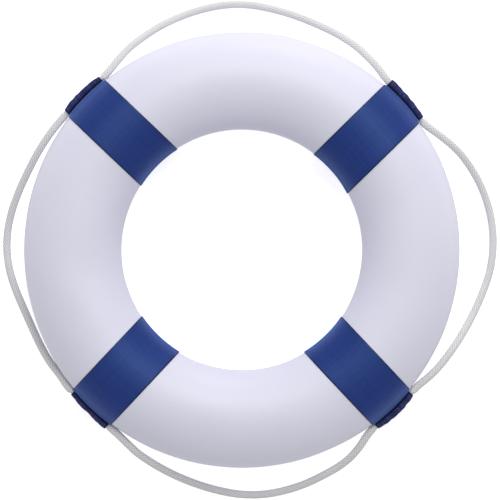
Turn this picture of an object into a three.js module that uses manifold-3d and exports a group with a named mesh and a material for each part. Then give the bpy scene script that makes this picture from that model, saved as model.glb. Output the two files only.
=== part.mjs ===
// A ring lifebuoy of 520 mm for pools and boats: a foam ring in a white coated skin, four blue bands wrapped
// round it, and a braided grab line that runs round the outside through a woven sleeve at each band.
// Millimetres, +Z up. The ring lies flat, and the origin is under its centre on the surface it lies on.
import * as THREE from "three";
import { mergeVertices } from "three/addons/utils/BufferGeometryUtils.js";
import Module from "manifold-3d";

const wasm = await Module();
wasm.setup();

// The ring
const OUTER_RADIUS = 260;
const INNER_RADIUS = 143;
const TUBE_HEIGHT = 92;
const COVER_THICKNESS = 1;
const BAND_THICKNESS = 1;
const BAND_WIDTH = 62;
const GAP = 0.3; // between pieces that touch on the real ring
const RING_SEGMENTS = 48;
const SECTION_SIDES = 20;
const OVERCUT = 20; // how far a cutting solid runs past what it cuts
const MERGE_DISTANCE = 1e-3; // corners closer than this are one corner

// The grab line and the sleeves that hold it
const LINE_DIAMETER = 9.5;
const LINE_SIDES = 10;
const LINE_STEP = 27; // length of one straight stretch of a free line's tube
const HELD_STEPS = 10; // straight stretches in the tube of a held line
const ROUTE_SPACING = 6; // between the points that a tube's curve is drawn through
const HELD_TAIL = 60; // line that stays with the ring on each side of a sleeve
const SLEEVE_LENGTH = 57;
const SLEEVE_WALL = 0.7;
const SLEEVE_SLACK = 0.5; // between the line and the inside of its sleeve
const SLEEVE_BASE_HEIGHT = 13.2; // the sleeve's two edges, laid flat against the skin
const SLEEVE_SEGMENTS = 10; // in each half of a sleeve's round section
const POINTS_IN_SLEEVE = [-0.4, -0.2, 0, 0.2, 0.4]; // along a held line, as shares of the sleeve's length
const THREAD_DIAMETER = 0.8;
const THREAD_LENGTH = 54;
const THREAD_INSET = 1.2; // from the end of the band to the sewing
const THREAD_STEPS = 6;
const THREAD_SIDES = 8;

const TUBE_RADIUS = (OUTER_RADIUS + INNER_RADIUS) / 2; // of the circle through the middle of the tube
const TUBE_HALF_WIDTH = (OUTER_RADIUS - INNER_RADIUS) / 2;
const TUBE_HALF_HEIGHT = TUBE_HEIGHT / 2;
const MID_HEIGHT = TUBE_HALF_HEIGHT + GAP + BAND_THICKNESS; // the bands touch the ground
const LINE_RADIUS = LINE_DIAMETER / 2;
const SLEEVE_BORE_RADIUS = LINE_RADIUS + SLEEVE_SLACK;
const SLEEVE_OUTER_RADIUS = SLEEVE_BORE_RADIUS + SLEEVE_WALL;
const SLEEVE_CENTRE = OUTER_RADIUS + GAP + SLEEVE_OUTER_RADIUS; // the line's distance from the ring's axis

// Where the bands sit, in degrees: the angle of the outer end, and the band's lean from the radius there
const BANDS = [
  { place: "north_east", angle: 42.4, lean: 2.1 },
  { place: "north_west", angle: 135.7, lean: 0.7 },
  { place: "south_west", angle: 226.4, lean: 0.4 },
  { place: "south_east", angle: 313.5, lean: -0.3 },
];

// The line's free stretches, from the mouth of one sleeve to the mouth of the next.
// Each point is [degrees round the ring, distance from the ring's axis, height]: level out of the sleeve,
// down to the ground, along it, and up to the next sleeve.
const LINE_ROUTES = {
  east: [
    [-40.4, 267.6, 47.3],
    [-38, 268.2, 47.1],
    [-35.5, 269, 46],
    [-33, 270.9, 44.2],
    [-30, 273.8, 41],
    [-27.5, 276, 37.5],
    [-25, 278.4, 33.2],
    [-20, 283.2, 24],
    [-15, 288.2, 15.5],
    [-10, 293.6, 9.2],
    [-5, 298.8, 5.8],
    [0, 301.6, 5],
    [5, 302.2, 5],
    [10, 300.6, 6],
    [15, 297, 9.8],
    [20, 291.2, 17.5],
    [25, 283.6, 28.5],
    [27.5, 278.8, 34],
    [30, 274.2, 39.2],
    [32, 271.2, 42.8],
    [34, 268.9, 45.7],
    [36.2, 267.6, 47.3],
  ],
  north: [
    [48.5, 267.6, 47.3],
    [50.5, 268.7, 47.2],
    [53, 270.5, 46.2],
    [55, 272.2, 44.6],
    [57.5, 274.6, 41.6],
    [60, 277.2, 38],
    [65, 281.2, 29.5],
    [70, 284, 20.5],
    [75, 286.9, 12.8],
    [80, 290, 7.6],
    [85, 293, 5.2],
    [90, 295.2, 5],
    [95, 294.8, 5],
    [100, 292.6, 6.4],
    [105, 289.6, 10.8],
    [110, 286, 18.3],
    [115, 281.2, 28],
    [120, 275.4, 37.5],
    [122.5, 272.3, 41.6],
    [125, 269.7, 44.8],
    [127.5, 268.1, 46.8],
    [129.6, 267.6, 47.3],
  ],
  west: [
    [141.8, 267.6, 47.3],
    [144, 267.7, 47.2],
    [146.5, 267.8, 46.2],
    [149, 268.3, 44.4],
    [152, 269.5, 41.2],
    [155, 270.9, 37],
    [160, 273.2, 28],
    [165, 276.4, 19],
    [170, 279.8, 11.5],
    [175, 282.2, 6.7],
    [180, 282.4, 5],
    [185, 280.2, 5],
    [190, 276.2, 6.6],
    [195, 272.1, 11],
    [200, 269.3, 18.5],
    [205, 267.7, 28],
    [208, 267.2, 34.3],
    [211, 267, 39.8],
    [214, 267.2, 44.2],
    [217, 267.7, 46.9],
    [220.3, 267.6, 47.3],
  ],
  south: [
    [232.5, 267.6, 47.3],
    [235, 268.4, 47.1],
    [237.5, 269, 46],
    [240, 270.1, 43.4],
    [242.5, 272.2, 40],
    [245, 274.7, 35.5],
    [250, 279, 26],
    [255, 283.2, 17],
    [260, 287.2, 10.2],
    [265, 291, 6.2],
    [270, 294, 5],
    [275, 295, 5],
    [280, 293.8, 6],
    [285, 290.8, 10],
    [290, 286.8, 17],
    [295, 281.8, 27],
    [297.5, 278.4, 32.6],
    [300, 274.4, 37.9],
    [302.5, 270.9, 42.4],
    [305, 268.5, 46],
    [307.4, 267.6, 47.3],
  ],
};

const foamMaterial = new THREE.MeshStandardMaterial({ color: 0xf2efe6, roughness: 0.9, metalness: 0 });
const coverMaterial = new THREE.MeshStandardMaterial({ color: 0xe6e6f2, roughness: 0.45, metalness: 0 });
const bandMaterial = new THREE.MeshStandardMaterial({ color: 0x2c4183, roughness: 0.4, metalness: 0 });
const sleeveMaterial = new THREE.MeshStandardMaterial({ color: 0x1c2250, roughness: 0.85, metalness: 0 });
const threadMaterial = new THREE.MeshStandardMaterial({ color: 0x14183a, roughness: 0.7, metalness: 0 });
const lineMaterial = new THREE.MeshStandardMaterial({ color: 0xd4d4da, roughness: 0.8, metalness: 0 });

const radians = THREE.MathUtils.degToRad;
const ring = new THREE.Group();

function addPiece(name, geometry, material) {
  const mesh = new THREE.Mesh(geometry, material);
  mesh.name = name;
  ring.add(mesh);
  return mesh;
}

// Joining and cutting

function toSolid(geometry) {
  const bare = geometry.clone();
  bare.deleteAttribute("normal");
  bare.deleteAttribute("uv");
  const merged = mergeVertices(bare, MERGE_DISTANCE);
  return new wasm.Manifold(
    new wasm.Mesh({
      numProp: 3,
      vertProperties: merged.attributes.position.array,
      triVerts: new Uint32Array(merged.index.array),
    }),
  );
}

function toGeometry(solid) {
  const mesh = solid.getMesh();
  const geometry = new THREE.BufferGeometry();
  geometry.setAttribute("position", new THREE.BufferAttribute(mesh.vertProperties, 3));
  geometry.setIndex(new THREE.BufferAttribute(mesh.triVerts, 1));
  geometry.computeVertexNormals();
  return geometry;
}

// The ring's layers

// A corner of the tube's oval section, grown by some distance.
// A flat side, not a corner, is lowest and outermost.
function sectionCorner(turn, growth) {
  const flatSide = Math.cos(Math.PI / SECTION_SIDES);
  return new THREE.Vector2(
    TUBE_RADIUS + ((TUBE_HALF_WIDTH + growth) / flatSide) * Math.cos(turn),
    ((TUBE_HALF_HEIGHT + growth) / flatSide) * Math.sin(turn),
  );
}

// The corners from the outer rim over the top to the inner rim, and on round the bottom for a whole section
function sectionCorners(growth, count) {
  const corners = [];
  for (let i = 0; i < count; i += 1) {
    corners.push(sectionCorner(((i + 0.5) * 2 * Math.PI) / SECTION_SIDES, growth));
  }
  return corners;
}

// Turns a section round the ring's axis.
function turned(section) {
  const closed = [...section, section[0]];
  return new THREE.LatheGeometry(closed, RING_SEGMENTS).rotateX(Math.PI / 2).translate(0, 0, MID_HEIGHT);
}

function layer(growth) {
  return turned(sectionCorners(growth, SECTION_SIDES));
}

// One half of the skin. It stops just short of the mid-plane, where the two halves are welded together.
function coverHalf() {
  const edge = GAP / 2;
  const half = SECTION_SIDES / 2;
  const outside = sectionCorners(0, half);
  const inside = sectionCorners(-COVER_THICKNESS, half).reverse();
  return turned([
    new THREE.Vector2(OUTER_RADIUS, edge),
    ...outside,
    new THREE.Vector2(INNER_RADIUS, edge),
    new THREE.Vector2(INNER_RADIUS + COVER_THICKNESS, edge),
    ...inside,
    new THREE.Vector2(OUTER_RADIUS - COVER_THICKNESS, edge),
  ]);
}

addPiece("foam_core", layer(-COVER_THICKNESS - GAP), foamMaterial);
addPiece("cover_top", coverHalf(), coverMaterial);
const coverBottom = coverHalf().rotateX(Math.PI).translate(0, 0, 2 * MID_HEIGHT);
addPiece("cover_bottom", coverBottom, coverMaterial);

// The bands

const underBand = toSolid(layer(GAP));
const overBand = toSolid(layer(GAP + BAND_THICKNESS));

// A band is what lies in a strip across the ring. Its two ends stop above and below the sleeve, at a slot.
function bandCutters(lean) {
  const reach = 2 * (TUBE_HALF_WIDTH + OVERCUT);
  const strip = new THREE.BoxGeometry(reach, BAND_WIDTH, 2 * TUBE_HEIGHT)
    .translate(TUBE_RADIUS - OUTER_RADIUS, 0, MID_HEIGHT)
    .rotateZ(radians(lean))
    .translate(OUTER_RADIUS, 0, 0);
  const slot = new THREE.BoxGeometry(OVERCUT, 2 * BAND_WIDTH, SLEEVE_BASE_HEIGHT + 2 * GAP)
    .translate(OUTER_RADIUS, 0, MID_HEIGHT);
  return { strip: toSolid(strip), slot: toSolid(slot) };
}

for (const { place, angle, lean } of BANDS) {
  const { strip, slot } = bandCutters(lean);
  const turn = [0, 0, angle];
  const band = overBand.intersect(strip.rotate(turn)).subtract(underBand).subtract(slot.rotate(turn));
  addPiece("band_" + place, toGeometry(band), bandMaterial);
}

// The sleeves and their sewing

// A round bar or bore along Y, as long as asked
function bar(radius, length) {
  const circle = new THREE.Shape().absarc(0, 0, radius, 0, 2 * Math.PI);
  const settings = { depth: length, bevelEnabled: false, curveSegments: SLEEVE_SEGMENTS };
  return new THREE.ExtrudeGeometry(circle, settings)
    .translate(0, 0, -length / 2)
    .rotateX(Math.PI / 2);
}

// A woven strip folded round the line, with its two edges laid flat against the skin
function sleeveGeometry() {
  const base = new THREE.BoxGeometry(SLEEVE_WALL, SLEEVE_LENGTH, SLEEVE_BASE_HEIGHT)
    .translate(SLEEVE_WALL / 2 - SLEEVE_OUTER_RADIUS, 0, 0);
  const sleeve = toSolid(bar(SLEEVE_OUTER_RADIUS, SLEEVE_LENGTH))
    .add(toSolid(base))
    .subtract(toSolid(bar(SLEEVE_BORE_RADIUS, SLEEVE_LENGTH + OVERCUT)));
  return toGeometry(sleeve).translate(SLEEVE_CENTRE, 0, MID_HEIGHT);
}

function polygon(radius, sides) {
  const corners = [];
  for (let i = 0; i < sides; i += 1) {
    const turn = (i * 2 * Math.PI) / sides;
    corners.push(new THREE.Vector2(radius * Math.cos(turn), radius * Math.sin(turn)));
  }
  return new THREE.Shape(corners);
}

function tube(points, radius, sides, steps) {
  const extrudePath = new THREE.CatmullRomCurve3(points, false, "centripetal");
  return new THREE.ExtrudeGeometry(polygon(radius, sides), { steps, extrudePath, bevelEnabled: false });
}

// A row of sewing along the band's end, above (1) or below (-1) the sleeve
function threadGeometry(side) {
  const reach = OUTER_RADIUS + GAP + BAND_THICKNESS + GAP + THREAD_DIAMETER / 2;
  const halfTurn = THREAD_LENGTH / 2 / reach;
  const height = MID_HEIGHT + side * (SLEEVE_BASE_HEIGHT / 2 + GAP + THREAD_INSET);
  const points = [];
  for (let i = 0; i <= THREAD_STEPS; i += 1) {
    const turn = halfTurn * ((2 * i) / THREAD_STEPS - 1);
    points.push(new THREE.Vector3(reach * Math.cos(turn), reach * Math.sin(turn), height));
  }
  return tube(points, THREAD_DIAMETER / 2, THREAD_SIDES, THREAD_STEPS);
}

for (const { place, angle } of BANDS) {
  const pieces = [
    addPiece("line_sleeve_" + place, sleeveGeometry(), sleeveMaterial),
    addPiece("seam_thread_top_" + place, threadGeometry(1), threadMaterial),
    addPiece("seam_thread_bottom_" + place, threadGeometry(-1), threadMaterial),
  ];
  for (const piece of pieces) {
    piece.rotation.z = radians(angle);
  }
}

// The grab line

function routeCurve(route) {
  const points = route.map(([turn, distance, height]) => {
    const a = radians(turn);
    return new THREE.Vector3(distance * Math.cos(a), distance * Math.sin(a), height);
  });
  return new THREE.CatmullRomCurve3(points, false, "centripetal");
}

// Evenly spaced points of a curve between two distances along it
function stretch(curve, from, to) {
  const length = curve.getLength();
  const steps = Math.round((to - from) / ROUTE_SPACING);
  const points = [];
  for (let i = 0; i <= steps; i += 1) {
    points.push(curve.getPointAt((from + ((to - from) * i) / steps) / length));
  }
  return points;
}

// The free stretch swings about the line through its two ends, so each end is a ball round that line.
function spanGeometry(curve) {
  const length = curve.getLength();
  const points = stretch(curve, HELD_TAIL, length - HELD_TAIL);
  const steps = Math.round((length - 2 * HELD_TAIL) / LINE_STEP);
  let span = toSolid(tube(points, LINE_RADIUS, LINE_SIDES, steps));
  for (const end of [points[0], points[points.length - 1]]) {
    const ball = new THREE.SphereGeometry(LINE_RADIUS, LINE_SIDES, LINE_SIDES / 2);
    span = span.add(toSolid(ball.translate(end.x, end.y, end.z)));
  }
  return toGeometry(span);
}

// The held stretch: the end of one free stretch, the line through the sleeve, and the start of the next
function heldGeometry(before, after, angle) {
  const clear = HELD_TAIL - LINE_RADIUS - GAP;
  const length = before.getLength();
  const inSleeve = POINTS_IN_SLEEVE.map((share) =>
    new THREE.Vector3(SLEEVE_CENTRE, share * SLEEVE_LENGTH, MID_HEIGHT)
      .applyAxisAngle(new THREE.Vector3(0, 0, 1), radians(angle)),
  );
  const points = [...stretch(before, length - clear, length), ...inSleeve, ...stretch(after, 0, clear)];
  return tube(points, LINE_RADIUS, LINE_SIDES, HELD_STEPS);
}

const curves = {};
for (const [side, route] of Object.entries(LINE_ROUTES)) {
  curves[side] = routeCurve(route);
  addPiece("line_span_" + side, spanGeometry(curves[side]), lineMaterial);
}
const neighbours = [
  [curves.east, curves.north],
  [curves.north, curves.west],
  [curves.west, curves.south],
  [curves.south, curves.east],
];
neighbours.forEach(([before, after], i) => {
  addPiece("line_held_" + BANDS[i].place, heldGeometry(before, after, BANDS[i].angle), lineMaterial);
});

export default ring;
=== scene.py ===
import math

import bpy
import numpy as np
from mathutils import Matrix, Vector, noise


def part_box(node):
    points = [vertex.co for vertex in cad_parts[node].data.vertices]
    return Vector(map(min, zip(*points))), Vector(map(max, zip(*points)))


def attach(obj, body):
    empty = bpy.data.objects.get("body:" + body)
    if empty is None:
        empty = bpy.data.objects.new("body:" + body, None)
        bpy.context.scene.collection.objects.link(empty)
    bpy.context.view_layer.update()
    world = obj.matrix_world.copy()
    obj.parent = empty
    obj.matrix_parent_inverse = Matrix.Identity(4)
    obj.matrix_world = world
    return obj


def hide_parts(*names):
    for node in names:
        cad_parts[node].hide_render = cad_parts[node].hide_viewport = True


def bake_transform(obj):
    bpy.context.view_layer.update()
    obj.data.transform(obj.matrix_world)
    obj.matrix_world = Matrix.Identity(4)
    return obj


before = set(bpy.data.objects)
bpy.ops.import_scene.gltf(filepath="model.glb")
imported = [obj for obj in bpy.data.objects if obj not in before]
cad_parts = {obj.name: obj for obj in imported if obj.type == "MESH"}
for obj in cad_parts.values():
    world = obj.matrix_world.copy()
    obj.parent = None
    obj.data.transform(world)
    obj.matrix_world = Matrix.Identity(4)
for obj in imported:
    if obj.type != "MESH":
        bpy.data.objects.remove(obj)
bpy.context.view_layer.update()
bpy.ops.object.select_all(action="DESELECT")


# The foam core
# A ring of closed-cell foam that does the floating. It is stacked from glued foam sheets, cut to a ring and
# ground to an oval tube, and it fills the skin all over.

core_low, core_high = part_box("foam_core")
MIDDLE = (core_low.z + core_high.z) / 2  # height of the plane that halves the ring
RING_RADIUS = 0.2015  # of the circle through the middle of the tube
TUBE_HALF_WIDTH = 0.0585
TUBE_HALF_HEIGHT = 0.046
OUTER_RADIUS = RING_RADIUS + TUBE_HALF_WIDTH
CORE_INSET = 0.0013  # from the outside of the skin to the foam
CORE_STEPS_ROUND_RING = 192
CORE_STEPS_ROUND_TUBE = 48
FOAM_SHEET = 0.023  # thickness of one glued sheet
GLUE_HALF_WIDTH = 0.0004
FOAM_CELLS = 900.0  # in a metre
FOAM_SHADE = (236, 232, 220)
FOAM_LIGHT = (247, 245, 238)
GLUE_COLOUR = (214, 202, 172)

# Soft hollows where the ring has been leant on: degrees round the ring, degrees round the tube from the outer
# rim over the top, how far the hollow reaches each way in degrees, and its depth.
HOLLOWS = [
    (189, 104, 9, 30, 0.0012),
    (202, 78, 7, 22, 0.0007),
    (299, 88, 8, 28, 0.0010),
    (84, 66, 10, 26, 0.0006),
    (348, 112, 9, 24, 0.0006),
    (255, 250, 12, 30, 0.0010),
]
RIPPLE_SIZE = 0.055  # between one swell of the foam and the next
RIPPLE_HEIGHT = 0.0004


def degrees_between(turn, other_turn):
    """How far a turn in radians is past another in degrees, from -180 to 180."""
    return (math.degrees(turn) - other_turn + 180) % 360 - 180


def hollow_depth(turn, roll):
    """How far the ring's surface lies below a true oval tube, at angles in radians."""
    depth = 0.0
    for hollow_turn, hollow_roll, turn_reach, roll_reach, deepest in HOLLOWS:
        off_turn = degrees_between(turn, hollow_turn) / turn_reach
        off_roll = degrees_between(roll, hollow_roll) / roll_reach
        depth += deepest * math.exp(-(off_turn ** 2) - off_roll ** 2)
    return depth


def tube_point(roll, lift):
    """Distance from the ring's axis and height above the middle, a lift off a true oval tube."""
    normal = Vector((math.cos(roll) / TUBE_HALF_WIDTH, math.sin(roll) / TUBE_HALF_HEIGHT)).normalized()
    distance = RING_RADIUS + TUBE_HALF_WIDTH * math.cos(roll) + lift * normal.x
    return distance, TUBE_HALF_HEIGHT * math.sin(roll) + lift * normal.y


def surface_lift(turn, roll):
    """How far the real, slightly uneven surface stands off a true oval tube."""
    distance, height = tube_point(roll, 0)
    place = Vector((distance * math.cos(turn), distance * math.sin(turn), height))
    return RIPPLE_HEIGHT * (noise.noise(place / RIPPLE_SIZE) - 0.5) - hollow_depth(turn, roll)


def ring_point(turn, roll, lift):
    """A point that lies a lift off the ring's uneven surface."""
    distance, height = tube_point(roll, lift + surface_lift(turn, roll))
    return Vector((distance * math.cos(turn), distance * math.sin(turn), MIDDLE + height))


def ring_tube(name, steps_round_ring, steps_round_tube, lift):
    """A closed oval tube that follows the ring's uneven surface."""
    bpy.ops.object.select_all(action="DESELECT")
    bpy.ops.mesh.primitive_torus_add(
        major_radius=RING_RADIUS,
        minor_radius=TUBE_HALF_WIDTH,
        major_segments=steps_round_ring,
        minor_segments=steps_round_tube,
        location=(0, 0, 0),
    )
    tube = bpy.context.object
    tube.name = name
    for vertex in tube.data.vertices:
        x, y, z = vertex.co
        turn = math.atan2(y, x)
        roll = math.atan2(z, math.hypot(x, y) - RING_RADIUS)
        vertex.co = ring_point(turn, roll, lift)
    bpy.ops.object.shade_smooth()
    return tube


def add_node(tree, kind, inputs=None, **settings):
    """A shader node with its settings, and its sockets set to a value or linked to another node's output."""
    made = tree.nodes.new(kind)
    for key, value in settings.items():
        setattr(made, key, value)
    for key, value in (inputs or {}).items():
        if isinstance(value, bpy.types.NodeSocket):
            tree.links.new(value, made.inputs[key])
        else:
            made.inputs[key].default_value = value
    return made


def calculate(tree, operation, first, second=0.0, third=0.0):
    """The output of one arithmetic step."""
    return add_node(tree, "ShaderNodeMath", {0: first, 1: second, 2: third}, operation=operation).outputs[0]


def linear(colour):
    """A red, green and blue from 0 to 255 as a shader's linear colour. A socket is left as it is."""
    if isinstance(colour, bpy.types.NodeSocket):
        return colour
    shares = [value / 255 for value in colour]
    return (*(s / 12.92 if s <= 0.04 else ((s + 0.055) / 1.055) ** 2.4 for s in shares), 1.0)


def blend_colours(tree, share, first, second):
    """The output of one mix of two colours, whose sockets on a mix node come after those for plain values."""
    sockets = {0: share, 6: linear(first), 7: linear(second)}
    return add_node(tree, "ShaderNodeMix", sockets, data_type="RGBA").outputs[2]


def bump(tree, height, strength, distance, under=None):
    """The normal of a surface raised by a height, on top of another bump's normal where one is given."""
    inputs = {"Height": height, "Strength": strength, "Distance": distance}
    if under is not None:
        inputs["Normal"] = under
    return add_node(tree, "ShaderNodeBump", inputs).outputs["Normal"]


def on_piece(tree):
    """The place of each point of the surface on its own piece, in metres."""
    return add_node(tree, "ShaderNodeTexCoord").outputs["Object"]


def new_group(name, inputs, outputs):
    """A node group with the named sockets of each kind, and those sockets as they are seen inside it."""
    group = bpy.data.node_groups.new(name, "ShaderNodeTree")
    for way, sockets in (("INPUT", inputs), ("OUTPUT", outputs)):
        for socket, kind in sockets.items():
            group.interface.new_socket(socket, in_out=way, socket_type="NodeSocket" + kind)
    return group, group.nodes.new("NodeGroupInput").outputs, group.nodes.new("NodeGroupOutput").inputs


def clouds_group():
    """Soft clouds of a light colour in a shade of it, and how light each point is."""
    group, given, result = new_group(
        "cloudy_colour",
        {
            "Vector": "Vector",
            "Scale": "Float",
            "Detail": "Float",
            "Roughness": "Float",
            "Shade": "Color",
            "Light": "Color",
        },
        {"Colour": "Color", "Lightness": "Float"},
    )
    texture = {name: given[name] for name in ("Vector", "Scale", "Detail", "Roughness")}
    lightness = add_node(group, "ShaderNodeTexNoise", texture).outputs["Fac"]
    group.links.new(blend_colours(group, lightness, given["Shade"], given["Light"]), result["Colour"])
    group.links.new(lightness, result["Lightness"])
    return group


cloudy_colour = clouds_group()


def cloudy(tree, scale, detail, shade, light, roughness=0.5):
    """Places the clouds in a material: their colour and their lightness."""
    inputs = {
        "Vector": on_piece(tree),
        "Scale": scale,
        "Detail": detail,
        "Roughness": roughness,
        "Shade": linear(shade),
        "Light": linear(light),
    }
    return add_node(tree, "ShaderNodeGroup", inputs, node_tree=cloudy_colour).outputs.values()


def new_material(name):
    """A node material with an empty tree, its output and its Principled shader."""
    material = bpy.data.materials.new(name)
    material.use_nodes = True
    tree = material.node_tree
    tree.nodes.clear()
    shader = tree.nodes.new("ShaderNodeBsdfPrincipled")
    output = tree.nodes.new("ShaderNodeOutputMaterial")
    tree.links.new(shader.outputs["BSDF"], output.inputs["Surface"])
    return material, tree, shader


def foam_material():
    """Pale foam with fine cells, and a line of yellowed glue between its sheets."""
    material, tree, shader = new_material("closed_cell_foam")
    tint, _ = cloudy(tree, scale=22.0, detail=5.0, shade=FOAM_SHADE, light=FOAM_LIGHT)
    height = add_node(tree, "ShaderNodeSeparateXYZ", {"Vector": on_piece(tree)}).outputs["Z"]
    off_joint = calculate(tree, "PINGPONG", height, FOAM_SHEET / 2)
    glue = calculate(tree, "LESS_THAN", off_joint, GLUE_HALF_WIDTH)
    tree.links.new(blend_colours(tree, glue, tint, GLUE_COLOUR), shader.inputs["Base Color"])
    cells = add_node(tree, "ShaderNodeTexVoronoi", {"Vector": on_piece(tree), "Scale": FOAM_CELLS})
    normal = bump(tree, cells.outputs["Distance"], strength=0.5, distance=0.0004)
    tree.links.new(normal, shader.inputs["Normal"])
    shader.inputs["Roughness"].default_value = 0.9
    return material


foam_core = ring_tube("foam_ring", CORE_STEPS_ROUND_RING, CORE_STEPS_ROUND_TUBE, -CORE_INSET)
foam_core.data.materials.append(foam_material())
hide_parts("foam_core")
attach(foam_core, "ring")


# The skin
# Two halves of white coated cloth, heated and drawn over the foam from above and below. Their edges are
# welded together along the middle of the outer and the inner rim, which leaves a narrow groove there.

SKIN_STEPS_ROUND_RING = 288
SKIN_STEPS_ROUND_TUBE = 72
SKIN_THICKNESS = 0.0009
WELD_HALF_WIDTH = 0.0014
WELD_SHOULDER = 0.0040  # where the skin begins to turn in to the weld
WELD_DEPTH = 0.0007
HALF_GAP = 0.00005  # from the middle plane to each half's edge
SHARP_EDGE = math.radians(50)  # the angle past which an edge isn't shaded smooth
SKIN_SHADE = (220, 219, 236)
SKIN_LIGHT = (228, 227, 243)
SKIN_MARK = (205, 205, 216)
MARK_STRENGTH = 0.25
MARK_START, MARK_FULL = 0.66, 0.80  # values of the specks where a mark begins and where it is full
SKIN_ROUGHNESS = (0.16, 0.38)  # how much it varies, and its least
SKIN_PEBBLES = 850.0  # in a metre


def skin_material():
    """White coating with a fine pebble grain, soft swells and a few faint rubbed marks."""
    material, tree, shader = new_material("white_coated_cloth")
    tint, lightness = cloudy(tree, scale=9.0, detail=4.0, shade=SKIN_SHADE, light=SKIN_LIGHT, roughness=0.55)
    specks = add_node(tree, "ShaderNodeTexNoise", {"Vector": on_piece(tree), "Scale": 260.0, "Detail": 3.0})
    rubbed = add_node(tree, "ShaderNodeValToRGB", {"Fac": specks.outputs["Fac"]})
    rubbed.color_ramp.elements[0].position = MARK_START
    rubbed.color_ramp.elements[1].position = MARK_FULL
    marked = calculate(tree, "MULTIPLY", rubbed.outputs["Color"], MARK_STRENGTH)
    tree.links.new(blend_colours(tree, marked, tint, SKIN_MARK), shader.inputs["Base Color"])
    pebbles = {"Vector": on_piece(tree), "Scale": SKIN_PEBBLES, "Randomness": 0.9}
    grain = add_node(tree, "ShaderNodeTexVoronoi", pebbles).outputs["Distance"]
    swell = add_node(tree, "ShaderNodeTexNoise", {"Vector": on_piece(tree), "Scale": 26.0, "Detail": 2.0})
    normal = bump(tree, grain, strength=0.22, distance=0.0003)
    normal = bump(tree, swell.outputs["Fac"], strength=0.25, distance=0.0015, under=normal)
    tree.links.new(normal, shader.inputs["Normal"])
    tree.links.new(calculate(tree, "MULTIPLY_ADD", lightness, *SKIN_ROUGHNESS), shader.inputs["Roughness"])
    return material


def skin_half(name, side, material):
    """The upper (1) or lower (-1) half of the skin, turned in along its welded edges."""
    half = ring_tube(name, SKIN_STEPS_ROUND_RING, SKIN_STEPS_ROUND_TUBE, 0)
    bpy.ops.object.mode_set(mode="EDIT")
    for height in (WELD_SHOULDER, WELD_HALF_WIDTH, HALF_GAP):
        bpy.ops.mesh.select_all(action="SELECT")
        bpy.ops.mesh.bisect(
            plane_co=(0, 0, MIDDLE + side * height),
            plane_no=(0, 0, side),
            clear_inner=height == HALF_GAP,
        )
    bpy.ops.object.mode_set(mode="OBJECT")
    for vertex in half.data.vertices:
        if abs(vertex.co.z - MIDDLE) < WELD_HALF_WIDTH / 2:
            distance = math.hypot(vertex.co.x, vertex.co.y)
            inwards = -1 if distance > RING_RADIUS else 1
            vertex.co.xy *= 1 + inwards * WELD_DEPTH / distance
    wall = half.modifiers.new("wall", "SOLIDIFY")
    wall.thickness = SKIN_THICKNESS
    wall.offset = -1
    bpy.ops.object.modifier_apply(modifier=wall.name)
    bpy.ops.object.shade_smooth_by_angle(angle=SHARP_EDGE)
    half.data.materials.append(material)
    return half


white_cloth = skin_material()
for place, side in (("top", 1), ("bottom", -1)):
    half = skin_half("skin_" + place, side, white_cloth)
    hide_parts("cover_" + place)
    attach(half, "ring")


# The blue bands
# Four strips of satin coated cloth, cut with a hot blade that darkens their edges; the dark line along each
# edge is partly painted shade. Each is wrapped once round the tube and glued down, and its two ends stop
# above and below the grab line's sleeve on the outer rim, with a painted highlight along each end.

BANDS = {  # degrees round the ring to the outer end, and how far the band leans from the radius there
    "north_east": (42.4, 2.1),
    "north_west": (135.7, 0.7),
    "south_west": (226.4, 0.4),
    "south_east": (313.5, -0.3),
}
BAND_WIDTH = 0.062
PERIMETER = math.pi * (TUBE_HALF_WIDTH + TUBE_HALF_HEIGHT)  # once round the tube
BAND_THICKNESS = 0.0008
BAND_ROUNDING = 0.00018  # of its cut edges
BAND_LIFT = 0.0011  # of its outer face off the skin
BAND_END_HEIGHT = 0.0069  # above and below the middle
BAND_END_ROLL = math.asin(BAND_END_HEIGHT / TUBE_HALF_HEIGHT)
BAND_COLUMNS = 32
BAND_ROWS = 168
BAND_THREADS = (2200.0, 1700.0)  # in a metre, across and along
EDGE_PRESS = 0.0004  # how far the hot blade flattens the band's edges
EDGE_WIDTH = 0.0012
END_HIGHLIGHT_WIDTH = 0.0008  # of the painted highlight strip at each end
END_HIGHLIGHT_FADE = 0.0014
END_HIGHLIGHT_STRENGTH = 0.45
SLEEVE_LENGTH = 0.057
FLANGE_HEIGHT = 0.0125  # how far up and down the sleeve's sewn edges reach under the band
FLANGE_SWELL = 0.0006  # how far they push the band out
FLANGE_FADE = 0.004  # how soon the band lies flat again past them, going round the tube
FLANGE_END_FADE = (-0.001, 0.0015)  # where that begins and ends, measured from a sleeve's end
BAND_SHADE = (16, 31, 100)
BAND_LIGHT = (22, 40, 118)
BAND_THREAD = (70, 104, 186)
BAND_EDGE_BURN_AND_SHADE = (12, 16, 44)
BAND_END_HIGHLIGHT = (120, 122, 190)
LIGHT_THREAD_SHARE = 0.12  # how much of the thread colour the lightest threads show
BAND_ROUGHNESS = (0.10, 0.40)  # how much it varies, and its least
BAND_MIRRORING = (-1.0, 0.72)  # how it changes towards the rims, and its value face on


def smooth_step(low, high, value):
    """A share that grows smoothly from 0 to 1 between two values."""
    share = min(max((value - low) / (high - low), 0.0), 1.0)
    return share * share * (3 - 2 * share)


def across_ring(band, across, roll, lift):
    """A point on a band: across its width, roll round the tube, and lift off the skin."""
    angle, lean = (math.radians(value) for value in BANDS[band])
    distance, _ = tube_point(roll, 0)
    along = Vector((math.cos(lean), math.sin(lean)))
    start = Vector((OUTER_RADIUS, 0)) + across * Vector((-math.sin(lean), math.cos(lean)))
    reach = along.dot(start)
    inwards = reach - math.sqrt(reach * reach - start.length_squared + distance * distance)
    spot = start - inwards * along
    return ring_point(angle + math.atan2(spot.y, spot.x), roll, lift)


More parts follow.
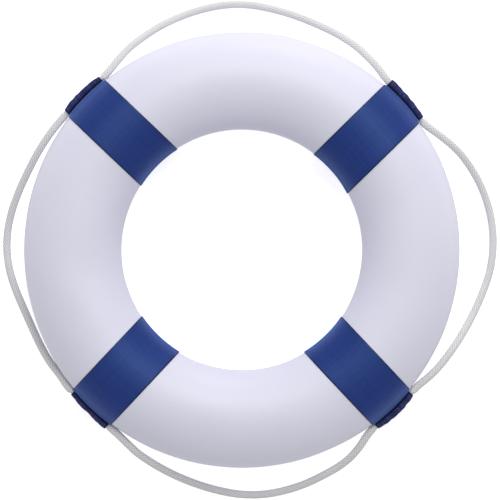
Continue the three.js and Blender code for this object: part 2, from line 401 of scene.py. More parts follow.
def cloth_piece(name, columns, rows, place):
    """A grid of faces. place gives each corner's point and where it is on the flat cloth, in metres."""
    bpy.ops.object.select_all(action="DESELECT")
    bpy.ops.mesh.primitive_grid_add(
        x_subdivisions=columns, y_subdivisions=rows, size=2, location=(0, 0, 0)
    )
    cloth = bpy.context.object
    cloth.name = name
    flat = {}
    for vertex in cloth.data.vertices:
        vertex.co, flat[vertex.index] = place(vertex.co.x, vertex.co.y)
    layer = cloth.data.uv_layers.active
    layer.name = "flat_cloth"
    for corner in cloth.data.loops:
        layer.data[corner.index].uv = flat[corner.vertex_index]
    bpy.ops.object.shade_smooth()
    return cloth


def thicken(cloth, thickness, rounding):
    """Gives a cloth its thickness, inwards from its face, and rounds the cut edges."""
    wall = cloth.modifiers.new("wall", "SOLIDIFY")
    wall.thickness = thickness
    wall.offset = -1
    bpy.ops.object.modifier_apply(modifier=wall.name)
    round_edge = cloth.modifiers.new("round_edge", "BEVEL")
    round_edge.width = rounding
    round_edge.segments = 2
    round_edge.limit_method = "ANGLE"
    round_edge.angle_limit = SHARP_EDGE
    bpy.ops.object.modifier_apply(modifier=round_edge.name)
    bpy.ops.object.shade_smooth()


def weave_group():
    """A plain weave: the height of its threads, and a different value on each thread, from the flat cloth."""
    group, given, result = new_group(
        "plain_weave",
        {"Across": "Float", "Along": "Float", "Threads Across": "Float", "Threads Along": "Float"},
        {"Height": "Float", "Thread Tone": "Float"},
    )
    places = [
        calculate(group, "MULTIPLY", given[way], given["Threads " + way]) for way in ("Across", "Along")
    ]
    cells = [calculate(group, "FLOOR", place) for place in places]
    over = calculate(group, "ABSOLUTE", calculate(group, "MODULO", calculate(group, "ADD", *cells), 2.0))
    under = calculate(group, "SUBTRACT", 1.0, over)
    ridges = []
    for place in places:
        half_turn = calculate(group, "MULTIPLY", calculate(group, "FRACT", place), math.pi)
        ridges.append(calculate(group, "SINE", half_turn))
    heights = []
    for ridge, other_ridge in (ridges, ridges[::-1]):
        rise = calculate(group, "MULTIPLY_ADD", other_ridge, 0.5, 0.5)
        heights.append(calculate(group, "MULTIPLY", ridge, rise))
    shown = []
    for warp, weft in (heights, cells):
        warp_part = calculate(group, "MULTIPLY", warp, over)
        weft_part = calculate(group, "MULTIPLY", weft, under)
        shown.append(calculate(group, "ADD", warp_part, weft_part))
    height, thread = shown
    tone = add_node(group, "ShaderNodeTexWhiteNoise", {"W": thread}, noise_dimensions="1D").outputs["Value"]
    group.links.new(height, result["Height"])
    group.links.new(tone, result["Thread Tone"])
    return group


def edge_group():
    """A mask that grows from 0 to 1 between two distances from the middle line of a flat cloth."""
    group, given, result = new_group(
        "edge_mask", {"Place": "Float", "Start": "Float", "End": "Float"}, {"Mask": "Float"}
    )
    distance = calculate(group, "ABSOLUTE", given["Place"])
    growth = {"Value": distance, "From Min": given["Start"], "From Max": given["End"]}
    mask = add_node(group, "ShaderNodeMapRange", growth).outputs["Result"]
    group.links.new(mask, result["Mask"])
    return group


plain_weave = weave_group()
edge_mask = edge_group()


def on_cloth(tree):
    """The place of each point across and along the flat cloth, in metres, from its middle."""
    flat = add_node(tree, "ShaderNodeUVMap", uv_map="flat_cloth").outputs["UV"]
    places = add_node(tree, "ShaderNodeSeparateXYZ", {"Vector": flat}).outputs
    return places["X"], places["Y"]


def weave(tree, threads_across, threads_along):
    """Places the weave in a material, with its threads in a metre each way: its height and its tone."""
    across, along = on_cloth(tree)
    inputs = {
        "Across": across,
        "Along": along,
        "Threads Across": threads_across,
        "Threads Along": threads_along,
    }
    return add_node(tree, "ShaderNodeGroup", inputs, node_tree=plain_weave).outputs.values()


def past_edge(tree, place, start, end):
    """Places the edge mask in a material, for a place across or along the flat cloth."""
    inputs = {"Place": place, "Start": start, "End": end}
    return add_node(tree, "ShaderNodeGroup", inputs, node_tree=edge_mask).outputs["Mask"]


def band_material():
    """Blue satin with a fine weave, dark heat-cut edges with painted edge shade, and a painted highlight
    along its ends.
    """
    material, tree, shader = new_material("blue_satin_cloth")
    across, along = on_cloth(tree)
    height, tone = weave(tree, *BAND_THREADS)
    tint, lightness = cloudy(tree, scale=16.0, detail=4.0, shade=BAND_SHADE, light=BAND_LIGHT)
    toned = blend_colours(tree, calculate(tree, "MULTIPLY", tone, LIGHT_THREAD_SHARE), tint, BAND_THREAD)
    # Painted shade: the dark line along each long edge stands for the shade at the edge, as well as the
    # hot-cut edge's own darkening.
    edge = past_edge(tree, across, BAND_WIDTH / 2 - 1.4 * EDGE_WIDTH, BAND_WIDTH / 2 - EDGE_WIDTH)
    edge_burn_and_shade = blend_colours(tree, edge, toned, BAND_EDGE_BURN_AND_SHADE)
    half_length = PERIMETER * (0.5 - BAND_END_ROLL / (2 * math.pi))
    # Painted highlight: a light strip along each end of the band, where the end catches the light.
    end = past_edge(tree, along, half_length - END_HIGHLIGHT_WIDTH - END_HIGHLIGHT_FADE, half_length - END_HIGHLIGHT_WIDTH)
    highlighted = blend_colours(tree, calculate(tree, "MULTIPLY", end, END_HIGHLIGHT_STRENGTH), edge_burn_and_shade, BAND_END_HIGHLIGHT)
    tree.links.new(highlighted, shader.inputs["Base Color"])
    tree.links.new(bump(tree, height, strength=0.35, distance=0.00012), shader.inputs["Normal"])
    tree.links.new(calculate(tree, "MULTIPLY_ADD", lightness, *BAND_ROUGHNESS), shader.inputs["Roughness"])
    # Satin mirrors less towards its rims, where the sheen of its threads takes over.
    facing = add_node(tree, "ShaderNodeLayerWeight", {"Blend": 0.5}).outputs["Facing"]
    mirrored = calculate(tree, "MULTIPLY_ADD", facing, *BAND_MIRRORING)
    tree.links.new(calculate(tree, "MAXIMUM", mirrored, 0.0), shader.inputs["Specular IOR Level"])
    shader.inputs["Specular Tint"].default_value = (0.34, 0.60, 1.0, 1.0)
    shader.inputs["Sheen Weight"].default_value = 0.85
    shader.inputs["Sheen Roughness"].default_value = 0.45
    shader.inputs["Sheen Tint"].default_value = (0.22, 0.42, 1.0, 1.0)
    return material


def band_corner(band, column, row):
    """A corner of a band, with column and row from -1 to 1, and its place on the flat cloth."""
    across = BAND_WIDTH / 2 * math.sin(column * math.pi / 2)
    roll = math.pi + row * (math.pi - BAND_END_ROLL)
    lift = BAND_LIFT - EDGE_PRESS * smooth_step(BAND_WIDTH / 2 - EDGE_WIDTH, BAND_WIDTH / 2, abs(across))
    if math.cos(roll) > 0:
        height = abs(TUBE_HALF_HEIGHT * math.sin(roll))
        over_flange = 1 - smooth_step(FLANGE_HEIGHT, FLANGE_HEIGHT + FLANGE_FADE, height)
        fade_start, fade_end = (SLEEVE_LENGTH / 2 + past_end for past_end in FLANGE_END_FADE)
        lift += FLANGE_SWELL * over_flange * (1 - smooth_step(fade_start, fade_end, abs(across)))
    return across_ring(band, across, roll, lift), (across, PERIMETER * (roll / math.pi - 1) / 2)


def wrap_band(band, material):
    """One band, from its upper end on the outer rim over the top and through the ring to its lower end."""
    cloth = cloth_piece(
        "blue_band_" + band, BAND_COLUMNS, BAND_ROWS, lambda column, row: band_corner(band, column, row)
    )
    thicken(cloth, BAND_THICKNESS, BAND_ROUNDING)
    cloth.data.materials.append(material)
    return cloth


blue_satin = band_material()
for band in BANDS:
    cloth = wrap_band(band, blue_satin)
    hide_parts("band_" + band)
    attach(cloth, "ring")


# The sleeves
# A strip of dark woven webbing at each band, folded round the grab line. Its two edges lie flat on the skin,
# tucked under the ends of the band. The line and the sewing leave each one puckered in its own way.

STRIP_LENGTH = 0.046  # of the webbing, from one sewn edge round the line to the other
WEBBING_THICKNESS = 0.0008
SLEEVE_ROUNDING = 0.00015  # of its cut edges
SLEEVE_COLUMNS = 76
SLEEVE_ROWS = 56
SLEEVE_STATIONS = (-1, -0.6, -0.2, 0.2, 0.6, 1)  # along a sleeve, as shares of half its length
SLEEVE_REACHES = {  # how far each sleeve stands out past the ring at those stations
    "north_east": (0.0062, 0.0079, 0.0089, 0.0093, 0.0094, 0.0090),
    "north_west": (0.0058, 0.0080, 0.0090, 0.0094, 0.0091, 0.0072),
    "south_west": (0.0050, 0.0064, 0.0069, 0.0072, 0.0076, 0.0068),
    "south_east": (0.0062, 0.0083, 0.0094, 0.0096, 0.0083, 0.0060),
}
PUCKER_LENGTH = 0.0065
PUCKER_WIDTH = 0.02
PUCKER_HEIGHT = 0.0007
PUCKER_SWELL = 0.10  # how much a pucker widens the sleeve, as a share of its height
SWELL_ROW = 5.0  # any row of the noise that no pucker's height reaches
SEED_STEP = 7.3  # keeps the puckers of one sleeve apart from the next one's
# Down one half of a sleeve's section: its height above the middle, the share of the way from the skin out to
# the sleeve's full reach, and its lift off the skin.
SLEEVE_SECTION = [
    (0.0122, 0.0, 0.00066),
    (0.0095, 0.0, 0.00066),
    (0.0068, 0.0, 0.00080),
    (0.0050, 0.09, 0.00090),
    (0.0051, 0.27, 0.00090),
    (0.0063, 0.50, 0.00090),
    (0.0060, 0.74, 0.00090),
    (0.0041, 0.93, 0.00090),
    (0.0000, 1.0, 0.00090),
]
WEBBING_THREADS = (620.0, 740.0)  # in a metre, across and along
FOLD_SHADE = (0.0006, 0.0032)  # from the strip's middle line, where the painted shade of the fold begins and ends to fade
CREASE_SHADE = (0.0085, 0.0115)  # where the painted shade of the crease beside the skin begins and is full
CUT_END = (0.0016, 0.0010)  # back from each end, where the dark of the sealed end begins and is full
WEBBING_SHADE = (18, 26, 92)
WEBBING_LIGHT = (30, 40, 120)
WEBBING_THREAD_HIGHLIGHT = (108, 116, 188)
WEBBING_PAINTED_SHADE = (8, 10, 40)
WEBBING_FOLD_SHADE = (12, 15, 46)
WEBBING_SEALED = (8, 9, 26)
HIGHLIGHT_CURVE = 2.0  # higher leaves fewer threads with a painted highlight
DEPTH_CURVE = 1.3  # higher spreads the painted shade further over each thread's sides


def flow(stations, values, at):
    """A smooth curve through values at given stations, read at other places."""
    stations, values, at = (np.asarray(a, float) for a in (stations, values, at))
    slopes = np.gradient(values, stations)
    i = np.clip(np.searchsorted(stations, at) - 1, 0, len(stations) - 2)
    width = stations[i + 1] - stations[i]
    t = (at - stations[i]) / width
    start = (1 + 2 * t) * (1 - t) ** 2 * values[i] + t * (1 - t) ** 2 * width * slopes[i]
    return start + t * t * (3 - 2 * t) * values[i + 1] + t * t * (t - 1) * width * slopes[i + 1]


def sleeve_reach(band, along):
    """How far out a sleeve's outside stands at a place along it."""
    return float(flow(SLEEVE_STATIONS, SLEEVE_REACHES[band], along / (SLEEVE_LENGTH / 2)))


def skin_distance(along, height):
    """How far out the skin is, square to the line through a sleeve, at a place along it and a height."""
    out = RING_RADIUS + TUBE_HALF_WIDTH * math.sqrt(1 - (height / TUBE_HALF_HEIGHT) ** 2)
    return math.sqrt(out * out - along * along)


def webbing_material():
    """Coarse navy webbing with painted highlights on a few threads, painted shade on the sides of its
    threads, in its fold and in the crease beside the skin, and dark sealed ends.
    """
    material, tree, shader = new_material("navy_webbing")
    along_sleeve, round_line = on_cloth(tree)
    height, tone = weave(tree, *WEBBING_THREADS)
    tint, _ = cloudy(tree, scale=60.0, detail=4.0, shade=WEBBING_SHADE, light=WEBBING_LIGHT)
    # Painted highlights on a few threads, chosen at random.
    highlighted = blend_colours(tree, calculate(tree, "POWER", tone, HIGHLIGHT_CURVE), tint, WEBBING_THREAD_HIGHLIGHT)
    # Painted shade on the sides of each thread, between the threads' tops.
    threads = blend_colours(tree, calculate(tree, "POWER", height, DEPTH_CURVE), WEBBING_PAINTED_SHADE, highlighted)
    # Painted shade in the crease where the sleeve meets the skin.
    creased = blend_colours(tree, past_edge(tree, round_line, *CREASE_SHADE), threads, WEBBING_PAINTED_SHADE)
    # Painted shade along the fold round the line, where the webbing faces away from the light.
    folded = blend_colours(tree, past_edge(tree, round_line, *FOLD_SHADE), WEBBING_FOLD_SHADE, creased)
    sealed = past_edge(tree, along_sleeve, *(SLEEVE_LENGTH / 2 - back for back in CUT_END))
    tree.links.new(blend_colours(tree, sealed, folded, WEBBING_SEALED), shader.inputs["Base Color"])
    tree.links.new(bump(tree, height, strength=0.9, distance=0.0005), shader.inputs["Normal"])
    shader.inputs["Roughness"].default_value = 0.75
    shader.inputs["Specular Tint"].default_value = (0.5, 0.6, 1.0, 1.0)
    return material


def whole_section():
    """The sleeve's section from its upper sewn edge to its lower one: heights, shares and lifts."""
    heights, shares, lifts = (np.array(column) for column in zip(*SLEEVE_SECTION))
    return (
        np.concatenate((heights, -heights[-2::-1])),
        np.concatenate((shares, shares[-2::-1])),
        np.concatenate((lifts, lifts[-2::-1])),
    )


def sleeve_corner(band, seed, section, column, row):
    """A corner of a sleeve, with column and row from -1 to 1, and its place on the flat cloth."""
    along = column * SLEEVE_LENGTH / 2
    stations = np.linspace(-1, 1, len(section[0]))
    height, share, lift = (float(flow(stations, values, row)) for values in section)
    angle = math.radians(BANDS[band][0])
    turn = angle + math.atan2(along, OUTER_RADIUS)
    lift += surface_lift(turn, math.asin(height / TUBE_HALF_HEIGHT))
    out = (1 - share) * (skin_distance(along, height) + lift)
    out += share * (OUTER_RADIUS + sleeve_reach(band, along))
    pucker = noise.noise(Vector((along / PUCKER_LENGTH, height / PUCKER_WIDTH, seed)))
    out += PUCKER_HEIGHT * share * pucker
    height *= 1 + PUCKER_SWELL * share * noise.noise(Vector((along / PUCKER_LENGTH, SWELL_ROW, seed)))
    x = out * math.cos(angle) - along * math.sin(angle)
    y = out * math.sin(angle) + along * math.cos(angle)
    return Vector((x, y, MIDDLE + height)), (along, row * STRIP_LENGTH / 2)


def fold_sleeve(band, seed, material):
    """One sleeve, from its upper sewn edge out round the line and back to its lower sewn edge."""
    section = whole_section()
    cloth = cloth_piece(
        "grab_line_sleeve_" + band,
        SLEEVE_COLUMNS,
        SLEEVE_ROWS,
        lambda column, row: sleeve_corner(band, seed, section, column, row),
    )
    thicken(cloth, WEBBING_THICKNESS, SLEEVE_ROUNDING)
    cloth.data.materials.append(material)
    return cloth


navy_webbing = webbing_material()
for number, band in enumerate(BANDS):
    cloth = fold_sleeve(band, number * SEED_STEP, navy_webbing)
    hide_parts("line_sleeve_" + band)
    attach(cloth, "ring")


# The sewing
# A row of lock stitches through the band's end and the sleeve's edge beneath it, above and below each sleeve.
# The thread is pulled tight, so each stitch dips into the cloth at both ends.

STITCH_LENGTH = 0.0031
STITCH_GAP = 0.0009
STITCH_THICKNESS = 0.0008
STITCH_SIDES = 6
STITCH_CUTS = (-0.32, 0, 0.32)  # where a stitch can bend, as shares of its length
STITCH_DIP = 0.7  # how deep its ends go, as a share of its thickness
STITCH_TAPER = 0.35  # how much thinner its ends are
STITCH_SET = 0.2  # how far its middle stands off the band, as a share of its thickness
ROW_LENGTH = 0.054
ROW_HEIGHT = 0.0089  # above and below the middle
STITCH_COUNT = int(ROW_LENGTH / (STITCH_LENGTH + STITCH_GAP))
THREAD_SHADE = (16, 20, 52)
THREAD_LIGHT = (38, 44, 92)


def thread_material():
    """Navy thread with its twist."""
    material, tree, shader = new_material("navy_thread")
    strands = {"Vector": on_piece(tree), "Scale": 900.0, "Distortion": 1.0}
    twist = add_node(tree, "ShaderNodeTexWave", strands, bands_direction="DIAGONAL").outputs["Fac"]
    tree.links.new(blend_colours(tree, twist, THREAD_SHADE, THREAD_LIGHT), shader.inputs["Base Color"])
    tree.links.new(bump(tree, twist, strength=0.6, distance=0.0002), shader.inputs["Normal"])
    shader.inputs["Roughness"].default_value = 0.6
    return material


def one_stitch():
    """The corners and faces of a short tight loop of thread that lies along X."""
    bpy.ops.object.select_all(action="DESELECT")
    bpy.ops.mesh.primitive_cylinder_add(
        vertices=STITCH_SIDES, radius=STITCH_THICKNESS / 2, depth=STITCH_LENGTH, rotation=(0, math.pi / 2, 0)
    )
    stitch = bpy.context.object
    bpy.ops.object.transform_apply(rotation=True)
    bpy.ops.object.mode_set(mode="EDIT")
    for share in STITCH_CUTS:
        bpy.ops.mesh.select_all(action="SELECT")
        bpy.ops.mesh.bisect(plane_co=(share * STITCH_LENGTH, 0, 0), plane_no=(1, 0, 0))
    bpy.ops.object.mode_set(mode="OBJECT")
    for vertex in stitch.data.vertices:
        end = abs(vertex.co.x) / (STITCH_LENGTH / 2)
        vertex.co.z -= STITCH_DIP * STITCH_THICKNESS * end ** 4
        vertex.co.yz *= 1 - STITCH_TAPER * end ** 3
    corners = [vertex.co.copy() for vertex in stitch.data.vertices]
    faces = [tuple(face.vertices) for face in stitch.data.polygons]
    bpy.data.objects.remove(stitch)
    return corners, faces


def smooth_piece(mesh, material):
    """Puts a mesh in the scene as a smooth piece with its faces outwards."""
    piece = bpy.data.objects.new(mesh.name, mesh)
    bpy.context.scene.collection.objects.link(piece)
    mesh.materials.append(material)
    bpy.ops.object.select_all(action="DESELECT")
    piece.select_set(True)
    bpy.context.view_layer.objects.active = piece
    bpy.ops.object.mode_set(mode="EDIT")
    bpy.ops.mesh.select_all(action="SELECT")
    bpy.ops.mesh.normals_make_consistent(inside=False)
    bpy.ops.object.mode_set(mode="OBJECT")
    bpy.ops.object.shade_smooth()
    return piece


def sew_row(band, side, stitch, material):
    """A row of stitches round the outer rim, above (1) or below (-1) the sleeve, and its place's name."""
    roll = side * math.asin(ROW_HEIGHT / TUBE_HALF_HEIGHT)
    one_corners, one_faces = stitch
    corners = []
    faces = []
    for i in range(STITCH_COUNT):
        middle = (i + 0.5 - STITCH_COUNT / 2) * (STITCH_LENGTH + STITCH_GAP)
        faces += [tuple(len(corners) + index for index in face) for face in one_faces]
        for corner in one_corners:
            lift = BAND_LIFT + FLANGE_SWELL + STITCH_SET * STITCH_THICKNESS + corner.z
            tilt = corner.y / TUBE_HALF_HEIGHT
            corners.append(across_ring(band, middle + corner.x, roll + tilt, lift))
    place = "%s_%s" % ("top" if side > 0 else "bottom", band)
    mesh = bpy.data.meshes.new("stitches_" + place)
    mesh.from_pydata(corners, [], faces)
    return smooth_piece(mesh, material), place


navy_thread = thread_material()
stitch = one_stitch()
for band in BANDS:
    for side in (1, -1):
        row, place = sew_row(band, side, stitch, navy_thread)
        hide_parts("seam_thread_" + place)
        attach(row, "ring")


# The grab line
# One white plaited line round the outside, held only by the four sleeves, which press it flat. It lies level
# out of each sleeve, droops to the ground, and rises again to the next one.

LINE_DIAMETER = 0.0095
MOUTH_TO_ROUND = 0.006  # how soon the line is round again outside a sleeve
LINE_ROUTES = {  # mouth to mouth: degrees round the ring, distance from the ring's axis, height
    "east": [
        (-38.7, 0.2646, 0.0472), (-33, 0.2709, 0.0442), (-30, 0.2740, 0.0410), (-27.5, 0.2762, 0.0375),
        (-25, 0.2784, 0.0332), (-20, 0.2832, 0.0240), (-15, 0.2882, 0.0155), (-10, 0.2936, 0.0092),
        (-5, 0.2988, 0.0058), (0, 0.3016, 0.0050), (5, 0.3022, 0.0050), (10, 0.3006, 0.0060),
        (15, 0.2970, 0.0098), (20, 0.2912, 0.0175), (25, 0.2835, 0.0285), (27.5, 0.2783, 0.0340),
        (30, 0.2730, 0.0392), (34.6, 0.2646, 0.0472),
    ],
    "north": [
        (50.1, 0.2670, 0.0472), (55, 0.2729, 0.0446), (57.5, 0.2755, 0.0416), (60, 0.2780, 0.0380),
        (65, 0.2815, 0.0295), (70, 0.2840, 0.0205), (75, 0.2869, 0.0128), (80, 0.2900, 0.0076),
        (85, 0.2930, 0.0052), (90, 0.2952, 0.0050), (95, 0.2948, 0.0050), (100, 0.2926, 0.0064),
        (105, 0.2894, 0.0108), (110, 0.2855, 0.0183), (115, 0.2806, 0.0280), (120, 0.2751, 0.0375),
        (122.5, 0.2713, 0.0416), (127.9, 0.2645, 0.0472),
    ],
    "west": [
        (143.5, 0.2652, 0.0472), (149, 0.2676, 0.0444), (152, 0.2689, 0.0412), (155, 0.2702, 0.0370),
        (160, 0.2727, 0.0280), (165, 0.2762, 0.0190), (170, 0.2798, 0.0115), (175, 0.2822, 0.0067),
        (180, 0.2824, 0.0050), (185, 0.2802, 0.0050), (190, 0.2760, 0.0064), (195, 0.2715, 0.0100),
        (200, 0.2685, 0.0160), (205, 0.2671, 0.0235), (208, 0.2664, 0.0288), (211, 0.2654, 0.0340),
        (214, 0.2638, 0.0395), (218.6, 0.2638, 0.0462),
    ],
    "south": [
        (234.2, 0.2640, 0.0471), (240, 0.2692, 0.0434), (242.5, 0.2724, 0.0400), (245, 0.2747, 0.0355),
        (250, 0.2790, 0.0260), (255, 0.2832, 0.0170), (260, 0.2872, 0.0102), (265, 0.2910, 0.0062),
        (270, 0.2940, 0.0050), (275, 0.2950, 0.0050), (280, 0.2938, 0.0060), (285, 0.2911, 0.0100),
        (290, 0.2873, 0.0170), (295, 0.2832, 0.0270), (297.5, 0.2801, 0.0326), (300, 0.2756, 0.0379),
        (305.7, 0.2647, 0.0470),
    ],
}
LINE_ENDS = {  # the sleeves that each free stretch runs between
    "east": ("south_east", "north_east"),
    "north": ("north_east", "north_west"),
    "west": ("north_west", "south_west"),
    "south": ("south_west", "south_east"),
}
# From sleeve centre to sleeve centre.
IN_SLEEVE = (0.0, 0.012, 0.024)  # how far from a sleeve's middle the line's place in it is set
SLEEVE_HOLLOW = 0.0054  # half the height that a sleeve leaves for the line
LINE_TO_SKIN = 0.0005
LINE_TO_SLEEVE = 0.0001
ROUTE_STEPS = 4000  # along a stretch, while its length is measured
PATH_STEP = 0.0057  # between the points that are given as a stretch's middle line
LINE_SIDES = 72
PLAITS_ROUND = 8  # diamonds round the line
PLAIT_LENGTH = 0.0048  # of one diamond along the line
PLAIT_DEPTH = 0.00045
ROWS_IN_PLAIT = 8
STRAND_ROUNDNESS = 0.7  # 1 makes a strand's top a sine across, and less than 1 a flatter one
STRAND_FLATNESS = 0.35  # the same along it
YARNS_IN_STRAND = 4
LINE_SHADE = (232, 232, 234)
LINE_LIGHT = (246, 246, 247)
LINE_GROOVE = (158, 158, 158)
GROOVE_CURVE = 0.6  # lower keeps the shade deeper in the grooves


def line_in_sleeve(band, along):
    """Where the flattened line runs in a sleeve: its distance out, and half its thickness."""
    near = skin_distance(along, 0) + LINE_TO_SKIN
    far = OUTER_RADIUS + sleeve_reach(band, along) - WEBBING_THICKNESS - LINE_TO_SLEEVE
    half = min((far - near) / 2, LINE_DIAMETER / 2)
    return far - half, half


def line_route(side):
    """Evenly spaced points down the middle of a stretch of line, and how far along it each one is."""
    points = [(math.radians(turn), distance, height) for turn, distance, height in LINE_ROUTES[side]]
    for band, way in zip(LINE_ENDS[side], (1, -1)):
        angle = math.radians(BANDS[band][0])
        if angle - points[0][0] > math.pi:
            angle -= 2 * math.pi
        held = []
        for along in IN_SLEEVE:
            out, _ = line_in_sleeve(band, way * along)
            held.append((angle + way * math.atan2(along, out), math.hypot(out, along), MIDDLE))
        points = held + points if way == 1 else points + held[::-1]
    turns, distances, heights = (np.array(column) for column in zip(*points))
    fine = np.linspace(turns[0], turns[-1], ROUTE_STEPS)
    out = flow(turns, distances, fine)
    line = np.stack((out * np.cos(fine), out * np.sin(fine), flow(turns, heights, fine)), axis=1)
    gone = np.concatenate(([0], np.cumsum(np.linalg.norm(np.diff(line, axis=0), axis=1))))
    rows = round(gone[-1] / PLAIT_LENGTH) * ROWS_IN_PLAIT
    even = np.linspace(0, gone[-1], rows + 1)
    return np.stack([np.interp(even, gone, line[:, axis]) for axis in range(3)], axis=1), even


def line_halves(side, points):
    """Half the line's thickness outwards and up at each point: flat in the sleeves, round outside them."""
    out = np.full(len(points), LINE_DIAMETER / 2)
    for band in LINE_ENDS[side]:
        angle = math.radians(BANDS[band][0])
        across = points[:, 0] * math.cos(angle) + points[:, 1] * math.sin(angle)
        along = points[:, 1] * math.cos(angle) - points[:, 0] * math.sin(angle)
        near_sleeve = (across > 0) & (np.abs(along) < SLEEVE_LENGTH / 2 + MOUTH_TO_ROUND)
        for i in np.nonzero(near_sleeve)[0]:
            held = min(max(along[i], -SLEEVE_LENGTH / 2), SLEEVE_LENGTH / 2)
            _, half = line_in_sleeve(band, held)
            free = smooth_step(SLEEVE_LENGTH / 2, SLEEVE_LENGTH / 2 + MOUTH_TO_ROUND, abs(along[i]))
            out[i] = half + (LINE_DIAMETER / 2 - half) * free
    return out, np.minimum((LINE_DIAMETER / 2) ** 2 / out, SLEEVE_HOLLOW)


def plait_height(around, along):
    """How high the strand on top stands, from 0 in the crossings to 1, where both places are in diamonds."""
    first = around + along
    second = around - along
    even = (np.floor(first) + np.floor(second)) % 2 == 0
    across = np.where(even, first, second) % 1
    length = np.where(even, second, first) % 1
    return np.sin(np.pi * across) ** STRAND_ROUNDNESS * np.sin(np.pi * length) ** STRAND_FLATNESS


def unit(vectors):
    """Each row of vectors at length 1."""
    return vectors / np.linalg.norm(vectors, axis=1)[:, None]


def plait_corners(side, points, raised):
    """The corners of a stretch of line, ring by ring, with the plait's grooves sunk into it."""
    half_out, half_up = line_halves(side, points)
    ahead = unit(np.gradient(points, axis=0))
    outwards = unit(np.cross(ahead, (0, 0, 1)))
    upwards = np.cross(outwards, ahead)
    grown = (raised - 1) * PLAIT_DEPTH
    turn = 2 * np.pi * np.arange(LINE_SIDES) / LINE_SIDES
    offset = (half_out[:, None] + grown)[..., None] * np.cos(turn)[None, :, None] * outwards[:, None, :]
    offset += (half_up[:, None] + grown)[..., None] * np.sin(turn)[None, :, None] * upwards[:, None, :]
    return (points[:, None, :] + offset).reshape(-1, 3)


def plait_line(side, material):
    """One stretch of line from sleeve centre to sleeve centre, and points down its middle."""
    points, even = line_route(side)
    rings = len(points)
    around = np.arange(LINE_SIDES) / LINE_SIDES * PLAITS_ROUND
    raised = plait_height(around[None, :], (even / PLAIT_LENGTH)[:, None])
    row, column = np.meshgrid(np.arange(rings - 1), np.arange(LINE_SIDES), indexing="ij")
    rows = np.stack((row, row, row + 1, row + 1), axis=-1).reshape(-1, 4)
    columns = np.stack((column, column + 1, column + 1, column), axis=-1).reshape(-1, 4)
    faces = rows * LINE_SIDES + columns % LINE_SIDES
    caps = [tuple(range(LINE_SIDES))[::-1], tuple(range((rings - 1) * LINE_SIDES, rings * LINE_SIDES))]
    mesh = bpy.data.meshes.new("grab_line_" + side)
    mesh.from_pydata(plait_corners(side, points, raised).tolist(), [], faces.tolist() + caps)
    unrolled = np.zeros((len(mesh.loops), 2))  # the share of the way round, and the metres along
    unrolled[: faces.size, 0] = columns.reshape(-1) / LINE_SIDES
    unrolled[: faces.size, 1] = even[rows.reshape(-1)]
    mesh.uv_layers.new(name="unrolled_line").data.foreach_set("uv", unrolled.reshape(-1))
    strand = mesh.attributes.new("strand_height", "FLOAT", "POINT")
    strand.data.foreach_set("value", raised.reshape(-1))
    step = round(PATH_STEP / (even[1] - even[0]))
    path = points[::step].tolist()
    if (rings - 1) % step:
        path.append(points[-1].tolist())
    return smooth_piece(mesh, material), path


def line_material():
    """White plaited line, shaded in the grooves between its strands, with the yarns that make each strand."""
    material, tree, shader = new_material("white_plaited_line")
    raised = add_node(tree, "ShaderNodeAttribute", attribute_name="strand_height").outputs["Fac"]
    tint, _ = cloudy(tree, scale=40.0, detail=4.0, shade=LINE_SHADE, light=LINE_LIGHT)
    grooved = blend_colours(tree, calculate(tree, "POWER", raised, GROOVE_CURVE), LINE_GROOVE, tint)
    tree.links.new(grooved, shader.inputs["Base Color"])
    unrolled = add_node(tree, "ShaderNodeUVMap", uv_map="unrolled_line").outputs["UV"]
    place = add_node(tree, "ShaderNodeSeparateXYZ", {"Vector": unrolled}).outputs
    around = calculate(tree, "MULTIPLY", place["X"], PLAITS_ROUND)
    along = calculate(tree, "DIVIDE", place["Y"], PLAIT_LENGTH)
    first = calculate(tree, "ADD", around, along)
    second = calculate(tree, "SUBTRACT", around, along)
    cells = calculate(tree, "ADD", calculate(tree, "FLOOR", first), calculate(tree, "FLOOR", second))
    odd = calculate(tree, "GREATER_THAN", calculate(tree, "PINGPONG", cells, 1.0), 0.5)
    even = calculate(tree, "SUBTRACT", 1.0, odd)
    odd_part = calculate(tree, "MULTIPLY", second, odd)
    across = calculate(tree, "MULTIPLY_ADD", first, even, odd_part)
    half_turns = calculate(tree, "MULTIPLY", across, YARNS_IN_STRAND * math.pi)
    yarns = calculate(tree, "ABSOLUTE", calculate(tree, "SINE", half_turns))
    tree.links.new(bump(tree, yarns, strength=0.5, distance=0.00015), shader.inputs["Normal"])
    shader.inputs["Roughness"].default_value = 0.7
    shader.inputs["Sheen Weight"].default_value = 0.15
    return material


white_line = line_material()
for side, (first, _) in LINE_ENDS.items():
    line, path = plait_line(side, white_line)
    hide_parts("line_span_" + side, "line_held_" + first)
    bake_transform(line)


# The floor, the light and the camera
# A white table under two wide soft lamps, one high and one low, on the ring's north side, and a camera
# straight above. The table glows a little, and more where the camera looks at it, which keeps it white.

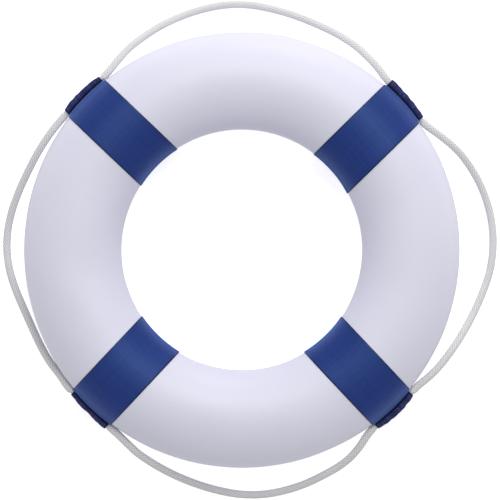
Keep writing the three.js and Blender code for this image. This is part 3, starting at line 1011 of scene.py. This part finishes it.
FLOOR_SIZE = 40.0
FLOOR_SHADE = (250, 250, 251)
FLOOR_LIGHT = (252, 252, 253)
FLOOR_GLOW = 0.15
FLOOR_GLOW_SEEN = 0.50  # added where the camera looks at the floor
LAMPS = {  # place, size and power
    "high_lamp": ((0.6, 2.6, 4.6), 2.2, 112.0),
    "low_lamp": ((1.0, 5.4, 1.5), 2.4, 74.0),
}
SKY_STRENGTH = 0.50
WHITE = (1.0, 1.0, 1.0, 1.0)
CAMERA_PLACE = (0.00966, -0.00024, 5.0 + MIDDLE)
CAMERA_LENS = 302.0


def floor_material():
    """A plain white table top."""
    material, tree, shader = new_material("white_table")
    tint, _ = cloudy(tree, scale=3.0, detail=3.0, shade=FLOOR_SHADE, light=FLOOR_LIGHT)
    tree.links.new(tint, shader.inputs["Base Color"])
    shader.inputs["Roughness"].default_value = 0.9
    shader.inputs["Emission Color"].default_value = WHITE
    seen = add_node(tree, "ShaderNodeLightPath").outputs["Is Camera Ray"]
    glow = calculate(tree, "MULTIPLY_ADD", seen, FLOOR_GLOW_SEEN, FLOOR_GLOW)
    tree.links.new(glow, shader.inputs["Emission Strength"])
    return material


bpy.ops.object.select_all(action="DESELECT")
bpy.ops.mesh.primitive_plane_add(size=FLOOR_SIZE, location=(0, 0, 0))
floor = bpy.context.object
floor.name = "floor"
floor.data.materials.append(floor_material())

for name, (place, size, power) in LAMPS.items():
    lamp = bpy.data.lights.new(name, "AREA")
    lamp.shape = "DISK"
    lamp.size = size
    lamp.energy = power
    lamp_object = bpy.data.objects.new(name, lamp)
    bpy.context.scene.collection.objects.link(lamp_object)
    lamp_object.location = place
    lamp_object.rotation_euler = (-Vector(place)).to_track_quat("-Z", "Y").to_euler()

world = bpy.data.worlds.new("soft_room")
world.use_nodes = True
sky = world.node_tree.nodes["Background"]
sky.inputs["Color"].default_value = WHITE
sky.inputs["Strength"].default_value = SKY_STRENGTH
bpy.context.scene.world = world
bpy.context.scene.view_settings.view_transform = "Standard"

camera = bpy.data.cameras.new("camera")
camera.lens = CAMERA_LENS
camera_object = bpy.data.objects.new("camera", camera)
bpy.context.scene.collection.objects.link(camera_object)
camera_object.location = CAMERA_PLACE
bpy.context.scene.camera = camera_object
